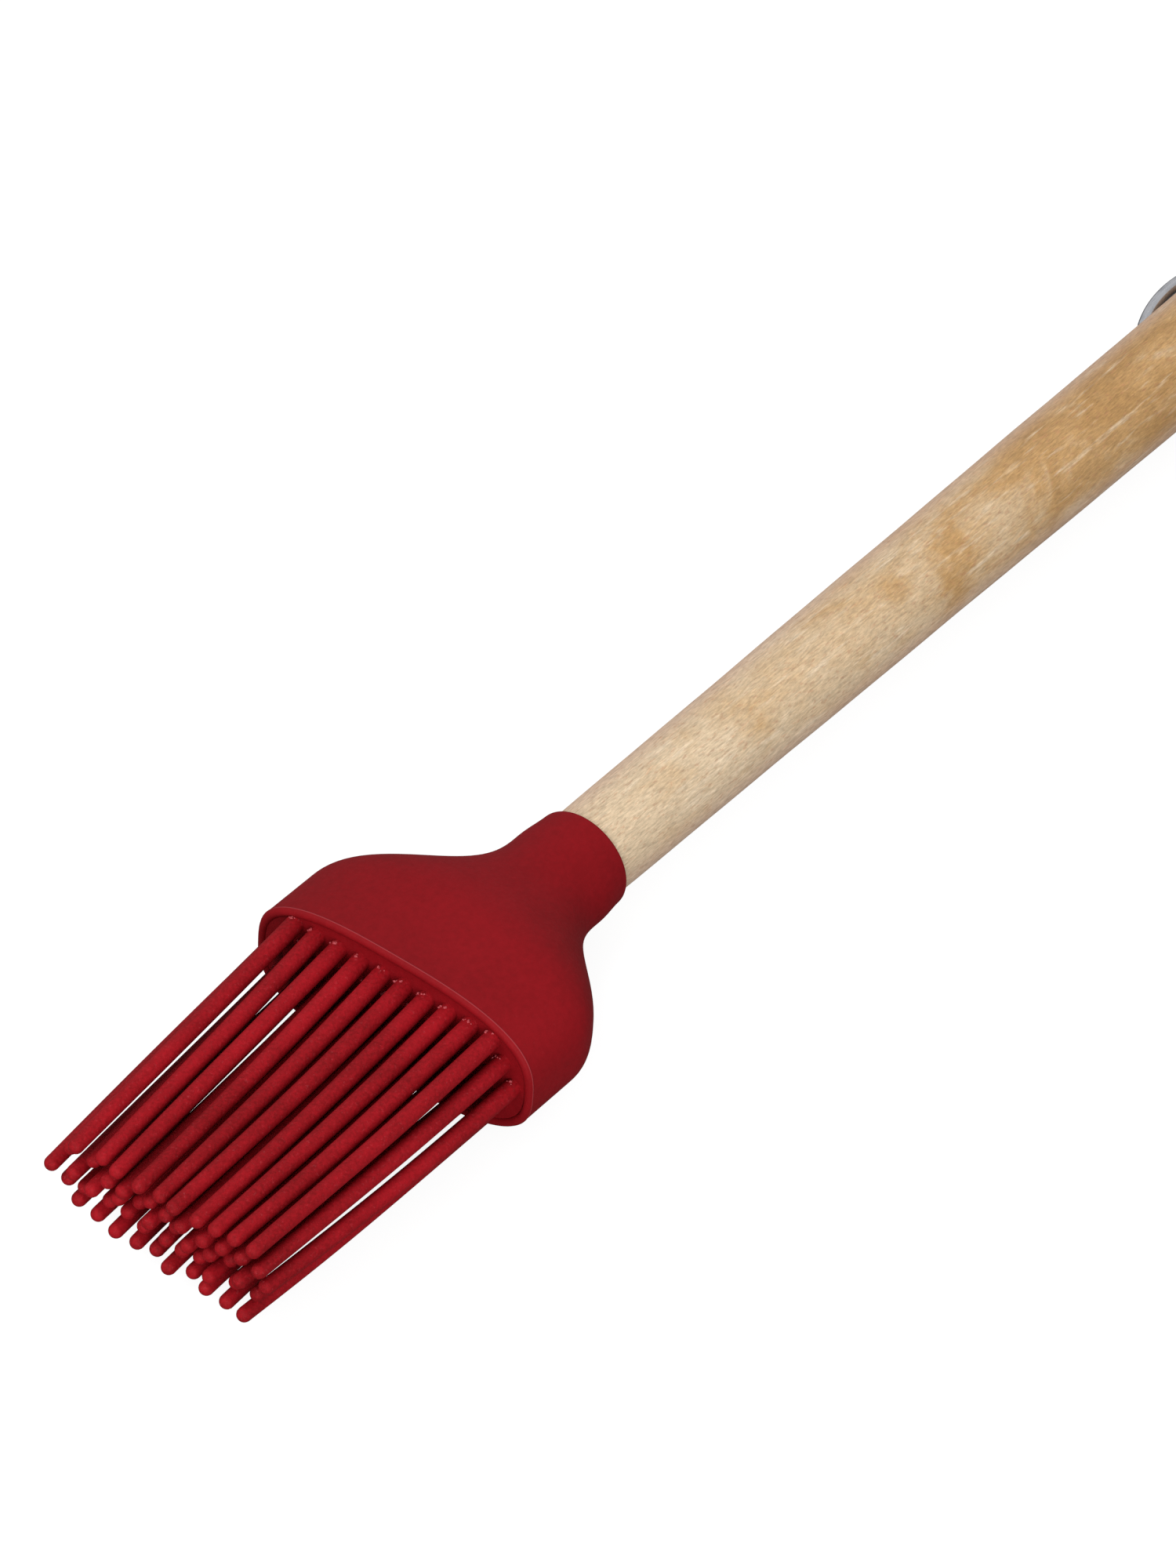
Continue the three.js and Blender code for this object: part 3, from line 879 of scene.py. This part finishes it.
@dataclass
class BristleRow:
    """One row of separate bristles, each bending from the pad to its own tip."""

    number: int
    material: bpy.types.Material
    rng: random.Random
    rim: float                      # the sleeve's rim, along X
    pad: float                      # the pad's face, along X
    flash: TornFlash
    root_radius: float = 1.25 * MM
    neck_radius: float = 0.98 * MM
    bulb_radius: float = 1.0 * MM
    bulb_reach: float = 3.5 * MM
    taper_power: float = 1.3        # above 1 keeps the root thick for longer
    rooted: float = 1.1 * MM        # how deep the root goes into the pad
    middle_row: int = 3
    side_bow: float = 0.1 * MM      # sideways bow of the middle row's bristles, towards +Y
    row_bow: float = 0.25 * MM      # and how much more it is in each lower row
    bow_fade: tuple[float, float] = (3 * MM, 12 * MM)  # the bow fades out between these, across
    outer_bow: float = -0.4 * MM    # bow of the last bristle in each row from the middle one down
    waver: float = 0.12 * MM        # how far a bristle strays from a straight line
    wave_share: float = 0.4         # how much of that is an S-shaped wave on top of the bow
    bend_start: float = 0.3         # share of the length behind the root
    bend_end: float = 0.62          # share of the length in front of the root
    crease_degrees: float = 50.0
    sides: int = 20
    steps: int = 36
    tip_steps: int = 7

    def nodes(self) -> list[str]:
        """The frame's nodes of this row, in order."""
        return sorted(frame["record"]["behaviour"]["bodies"][f"bristle_row_{self.number}"])

    def bow_of(self, root: Vector, is_last: bool) -> float:
        """Works out the sideways bow of a bristle.

        Args:
            root: Where the bristle meets the pad.
            is_last: True at the -Y end of the row.

        Returns:
            How far its middle stands to the +Y side of a straight line.
        """
        if is_last and self.number >= self.middle_row:
            return self.outer_bow
        fade = 1 - smooth((root.y - self.bow_fade[0]) / (self.bow_fade[1] - self.bow_fade[0]))
        return (self.side_bow + self.row_bow * (self.number - self.middle_row)) * fade

    def centre_line(self, root: Vector, tip: Vector, side_bow: float) -> list[Vector]:
        """An almost straight line with a slight bow and a slight wave.

        Args:
            root: Where the bristle meets the pad.
            tip: Where it ends.
            side_bow: How far its middle stands to the +Y side.

        Returns:
            The line's points, from the pad to the tip.
        """
        bow = Vector((0, self.rng.uniform(-1, 1), self.rng.uniform(-1, 1))) * self.waver
        bow.y += side_bow
        wave = Vector((0, self.rng.uniform(-1, 1), self.rng.uniform(-1, 1))) * self.waver * self.wave_share
        line = []
        for step in range(self.steps + 1):
            share = step / self.steps
            line.append(root.lerp(tip, share) + bow * math.sin(math.pi * share)
                        + wave * math.sin(2 * math.pi * share))
        return line

    def radius_at(self, share: float, length: float) -> float:
        """Tapers the bristle to its neck and swells it to a slight bulb.

        Args:
            share: The share of the length from the root.
            length: The bristle's length.

        Returns:
            The radius there.
        """
        taper = mix(self.root_radius, self.neck_radius, share ** self.taper_power)
        bulb = smooth(1 - (1 - share) * length / self.bulb_reach)
        return mix(taper, self.bulb_radius, bulb)

    def shaft(self, root: Vector, tip: Vector, side_bow: float) -> tuple[list[Vector], list[list[int]]]:
        """The bristle's skin: a root sunk in the pad, a tapering shaft and a round tip.

        Args:
            root: Where the bristle meets the pad.
            tip: Where it ends.
            side_bow: How far its middle stands to the +Y side.

        Returns:
            The points and the faces.
        """
        length = (tip - root).length
        full_line = self.centre_line(root, tip, side_bow)
        shares = [step / self.steps for step in range(self.steps + 1)]
        count = sum(share * length <= length - self.bulb_radius for share in shares)
        line = full_line[:count]
        radii = [self.radius_at(share, length) for share in shares[:count]]
        line.insert(0, root + Vector((self.rooted, 0, 0)))
        radii.insert(0, self.root_radius)
        ahead = (line[-1] - line[-2]).normalized()
        middle, bulb = line[-1], radii[-1]
        for step in range(1, self.tip_steps):
            turn = math.pi / 2 * step / self.tip_steps
            line.append(middle + ahead * bulb * math.sin(turn))
            radii.append(bulb * math.cos(turn))
        rings = sweep_tube(line, radii, self.sides, Vector((0, 0, 1)))
        return skin(rings, closed=False)

    def bristle(self, node: str, is_last: bool) -> bpy.types.Object:
        """Builds one bristle with its flash.

        Args:
            node: The frame's node that it stands for.
            is_last: True at the -Y end of the row.

        Returns:
            The bristle.
        """
        frame_root, tip = ends_of(node)
        root = Vector((self.pad, frame_root.y, frame_root.z))
        vertices, faces = self.shaft(root, tip, self.bow_of(root, is_last))
        shaft_count = len(vertices)
        foot = Vector((self.rim, root.y, root.z))
        shreds, shred_faces = self.flash.shreds(foot, self.root_radius, self.rng)
        vertices += shreds
        faces += [[shaft_count + i for i in face] for face in shred_faces]
        piece = mesh_object(f"silicone_{node}", vertices, faces, self.crease_degrees)
        # the shreds are painted pale: thin flash, and a painted highlight on the roots' upper side
        set_paleness(piece, range(shaft_count, len(vertices)),
                     [self.rng.uniform(*self.flash.paleness) for _ in shreds])
        finish_piece(piece, self.material, [node])
        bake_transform(piece)
        return piece

    def build(self) -> None:
        """Makes every bristle of the row."""
        nodes = self.nodes()
        for node in nodes:
            self.bristle(node, is_last=node == nodes[-1])


# ------------------------------------------------------------------ handle and ring


@dataclass
class Handle:
    """The turned stick: a tenon in the core, a shoulder, a slow swell and a rounded butt."""

    material: bpy.types.Material
    collar_x: float
    shoulder_depth: float = 4.7 * MM    # how far the full thickness goes into the collar
    shoulder_chamfer: float = 0.3 * MM
    tenon_radius: float = 4.0 * MM
    tenon_chamfer: float = 0.5 * MM
    butt_rounding: float = 5.5 * MM
    butt_centre: float = 0.4            # the last section's share of the butt's flat middle
    hole_radius: float = 2.8 * MM
    hole_flare: float = 0.5 * MM
    ripple: float = 0.02 * MM           # what sanding leaves of the turning marks
    # The turning marks' waves: each one's length in millimetres, its share of the ripple and its phase.
    marks: tuple[tuple[float, float, float], ...] = ((7.3, 1.0, 0.0), (3.1, 0.6, 1.0))
    crease_degrees: float = 28.0
    sides: int = 128
    hole_sides: int = 64
    steps: int = 150
    butt_steps: int = 12

    def __post_init__(self) -> None:
        """Takes the stick's ends and thickness from the frame."""
        low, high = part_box("handle")
        self.start, self.end = low.x, high.x
        self.straight_end = self.end - self.butt_rounding
        self.butt_radius = (high.z - low.z) / 2
        self.axis_height = (low.z + high.z) / 2

    def radius(self, x: float) -> float:
        """Works out the turned radius, with a trace of turning marks.

        Args:
            x: The place along the brush.

        Returns:
            The radius there.
        """
        share = clamp((x - self.collar_x) / (self.straight_end - self.collar_x))
        waves = sum(size * math.sin(x / (length * MM) + phase) for length, size, phase in self.marks)
        return mix(HANDLE_FRONT_RADIUS, self.butt_radius, share) + self.ripple * waves

    def profile(self) -> list[tuple[float, float]]:
        """The stick's outline, from the tenon's end to the middle of the butt.

        Returns:
            The place along the brush and the radius of each section.
        """
        shoulder = self.collar_x - self.shoulder_depth
        full_start = shoulder + self.shoulder_chamfer
        outline = [(self.start, self.tenon_radius - self.tenon_chamfer),
                   (self.start + self.tenon_chamfer, self.tenon_radius),
                   (shoulder, self.tenon_radius),
                   (shoulder, HANDLE_FRONT_RADIUS - self.shoulder_chamfer),
                   (full_start, HANDLE_FRONT_RADIUS)]
        for step in range(1, self.steps + 1):
            x = mix(full_start, self.straight_end, step / self.steps)
            outline.append((x, self.radius(x)))
        full = self.radius(self.straight_end)
        for step in range(1, self.butt_steps + 1):
            turn = math.pi / 2 * step / self.butt_steps
            outline.append((self.straight_end + self.butt_rounding * math.sin(turn),
                            full - self.butt_rounding * (1 - math.cos(turn))))
        outline.append((self.end, self.butt_centre * (self.butt_radius - self.butt_rounding)))
        return outline

    def hole_cutter(self, hinge: Vector) -> bpy.types.Object:
        """A round bar across the butt with flared ends, for the ring's hole.

        Args:
            hinge: The middle of the hole.

        Returns:
            The cutter.
        """
        mouth = self.butt_radius
        half = [(2 * mouth, 3.0), (mouth - 0.5 * self.hole_flare, 1.0), (mouth - 2 * self.hole_flare, 0.0)]
        stations = [(-y, flare) for y, flare in half] + half[::-1]
        rings = []
        for y, flare in stations:
            radius = self.hole_radius + flare * self.hole_flare
            rings.append([hinge + Vector((radius * math.cos(turn), y, radius * math.sin(turn)))
                          for turn in equal_turns(self.hole_sides)])
        return mesh_object("ring_hole", *skin(rings, closed=False))

    def build(self, hinge: Vector) -> None:
        """Makes the handle.

        Args:
            hinge: The middle of the ring's hole.
        """
        rings = [round_section(x, radius, self.sides, self.axis_height) for x, radius in self.profile()]
        piece = mesh_object("birch_handle", *skin(rings, closed=False))
        boolean_cut(piece, self.hole_cutter(hinge))
        piece.data.shade_smooth()
        piece.data.set_sharp_from_angle(angle=math.radians(self.crease_degrees))
        finish_piece(piece, self.material, ["handle"])
        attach(piece, "brush")


@dataclass
class HangRing:
    """A ring bent from one length of wire, with its two ends butted.

    It leans forward from its hole, round the handle and down to the floor.
    """

    material: bpy.types.Material
    hinge: Vector
    wire_radius: float = 1.0 * MM
    hinge_inset: float = 1.5 * MM   # from the near side's wire to the hinge, the middle of the hole
    joint_gap: float = 0.18 * MM
    joint_turn: float = 68.0        # degrees from the far side to the butted ends
    end_share: float = 0.8          # of the wire's radius, on its two cut ends
    sides: int = 28
    steps: int = 160

    def build(self) -> None:
        """Makes the ring from its box and its hinge in the frame."""
        low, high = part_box("hang_ring")
        radius = (high.y - low.y) / 2 - self.wire_radius
        reach = 2 * radius - self.hinge_inset
        drop = self.hinge.z - (low.z + self.wire_radius)
        angle = math.asin(drop / reach)
        outward = Vector((-math.cos(angle), 0, -math.sin(angle)))
        centre = self.hinge + outward * (reach - radius)
        across = Vector((0, 1, 0))
        half_gap = self.joint_gap / radius / 2
        joint = math.radians(self.joint_turn)
        turns = [joint + mix(half_gap, 2 * math.pi - half_gap, step / self.steps)
                 for step in range(self.steps + 1)]
        line = [centre + radius * (math.cos(turn) * outward + math.sin(turn) * across) for turn in turns]
        radii = [self.wire_radius] * len(line)
        radii[0] = radii[-1] = self.wire_radius * self.end_share
        rings = sweep_tube(line, radii, self.sides, outward.cross(across))
        piece = mesh_object("steel_ring", *skin(rings, closed=False))
        finish_piece(piece, self.material, ["hang_ring"])
        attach(piece, "ring")


# ------------------------------------------------------------------ studio


@dataclass(frozen=True)
class SoftBox:
    """A square soft box that faces the head."""

    name: str
    place: tuple[float, float, float]       # metres from the middle of the head's rim
    size: float                             # the length of its side in metres
    power: float                            # in watts

    def hang(self, rim: Vector) -> None:
        """Puts the box in the studio.

        Args:
            rim: The middle of the head's rim.
        """
        light = bpy.data.lights.new(self.name, "AREA")
        light.shape = "SQUARE"
        light.size = self.size
        light.energy = self.power
        lamp = bpy.data.objects.new(self.name, light)
        bpy.context.scene.collection.objects.link(lamp)
        lamp.location = rim + Vector(self.place)
        lamp.rotation_mode = "QUATERNION"
        lamp.rotation_quaternion = (-Vector(self.place)).to_track_quat("-Z", "Y")


@dataclass
class Studio:
    """A pale floor, soft light from all round, and the camera."""

    rim: Vector
    azimuth: float = -55.1
    elevation: float = 41.94
    roll: float = 4.23
    distance: float = 0.880
    aim: tuple[float, float, float] = (0.0297, -0.0064, 0.0230)     # metres from the middle of the rim
    lens: float = 162.0
    sensor_width: float = 36.0
    clip_range: tuple[float, float] = (0.01, 20.0)
    floor_half_size: float = 4.0
    floor_albedo: float = 0.2
    floor_roughness: float = 0.9
    floor_glow: float = 0.88
    surroundings: float = 0.6               # brightness of the white surroundings
    soft_boxes: tuple[SoftBox, ...] = (
        SoftBox("key_softbox", (-0.6, 0.5, 1.3), 1.1, 12.0),
        SoftBox("fill_softbox", (-1.1, -0.9, 0.6), 1.2, 21.0))

    def camera(self) -> None:
        """Sets the camera, far off with a long lens."""
        azimuth, elevation = math.radians(self.azimuth), math.radians(self.elevation)
        back = Vector((math.sin(azimuth) * math.cos(elevation), -math.cos(azimuth) * math.cos(elevation),
                       math.sin(elevation)))
        data = bpy.data.cameras.new("camera")
        data.lens = self.lens
        data.sensor_width = self.sensor_width
        data.clip_start, data.clip_end = self.clip_range
        camera = bpy.data.objects.new("camera", data)
        bpy.context.scene.collection.objects.link(camera)
        camera.location = self.rim + Vector(self.aim) + back * self.distance
        camera.rotation_mode = "QUATERNION"
        level = (-back).to_track_quat("-Z", "Y")
        camera.rotation_quaternion = Quaternion(back, math.radians(self.roll)) @ level
        bpy.context.scene.camera = camera

    def floor(self) -> None:
        """Lays a wide floor that looks white but throws little light up at the brush."""
        size = self.floor_half_size
        corners = [Vector((x * size, y * size, 0)) for x, y in ((-1, -1), (1, -1), (1, 1), (-1, 1))]
        floor = mesh_object("floor", corners, [[0, 1, 2, 3]])
        material = bpy.data.materials.new("matt_white_floor")
        material.use_nodes = True
        tree = material.node_tree
        shader = tree.nodes["Principled BSDF"]
        seen = add_node(tree, "ShaderNodeLightPath").outputs["Is Camera Ray"]
        glow = add_node(tree, "ShaderNodeMath", {"operation": "MULTIPLY"}, {0: seen, 1: self.floor_glow})
        grey = (self.floor_albedo, self.floor_albedo, self.floor_albedo, 1)
        shader.inputs["Base Color"].default_value = grey
        shader.inputs["Roughness"].default_value = self.floor_roughness
        shader.inputs["Specular IOR Level"].default_value = 0.0
        shader.inputs["Emission Color"].default_value = (1, 1, 1, 1)
        tree.links.new(glow.outputs["Value"], shader.inputs["Emission Strength"])
        floor.data.materials.append(material)

    def world(self) -> None:
        """Surrounds the studio with an even white glow."""
        world = bpy.data.worlds.new("pale_surroundings")
        world.use_nodes = True
        background = world.node_tree.nodes["Background"]
        background.inputs["Color"].default_value = (1, 1, 1, 1)
        background.inputs["Strength"].default_value = self.surroundings
        bpy.context.scene.world = world

    def build(self) -> None:
        """Makes the camera, the floor, the soft boxes and the pale surroundings."""
        self.camera()
        self.floor()
        for soft_box in self.soft_boxes:
            soft_box.hang(self.rim)
        self.world()
        bpy.context.scene.view_settings.view_transform = "Standard"


# ------------------------------------------------------------------ the whole brush


def build_bristles(head: Head) -> None:
    """Builds the rows of bristles, from the top one down.

    Args:
        head: The head that they stand in.
    """
    silicone = MouldedSilicone(
        "moulded_silicone_bristles", deep="#6f090f", body="#97111b", mottle=0.45 * MM).build()
    rng = random.Random(SEED)
    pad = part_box("bristle_pad")[0].x
    bodies = frame["record"]["behaviour"]["bodies"]
    rows = sum(body.startswith("bristle_row_") for body in bodies)
    for number in range(1, rows + 1):
        BristleRow(number, silicone, rng, head.rim, pad, TornFlash()).build()


def build_handle(head: Head) -> None:
    """Builds the handle and the ring in its butt.

    Args:
        head: The head that the handle stands in.
    """
    collar_x = head.rim + head.length
    butt_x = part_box("handle")[1].x
    birch = TurnedBirch(
        "turned_oiled_birch", front=collar_x, butt=butt_x, axis_height=head.axis_height).build()
    ring_joint = next(joint for joint in frame["joints"] if joint["name"] == "ring_swing")
    hinge = Vector(ring_joint["pos_m"])
    Handle(birch, collar_x).build(hinge)
    HangRing(PlatedSteel("bright_plated_steel").build(), hinge).build()


def main() -> None:
    """Builds the brush and its studio."""
    logging.basicConfig(level=logging.INFO, format="%(name)s: %(message)s")
    head_silicone = MouldedSilicone("moulded_silicone_head", dust_share=0.04).build()
    head = Head(head_silicone, MouldedNylon("moulded_nylon").build())
    head.build()
    build_bristles(head)
    build_handle(head)
    Studio(Vector((head.rim, 0, head.axis_height))).build()


if __name__ == "__main__":
    main()
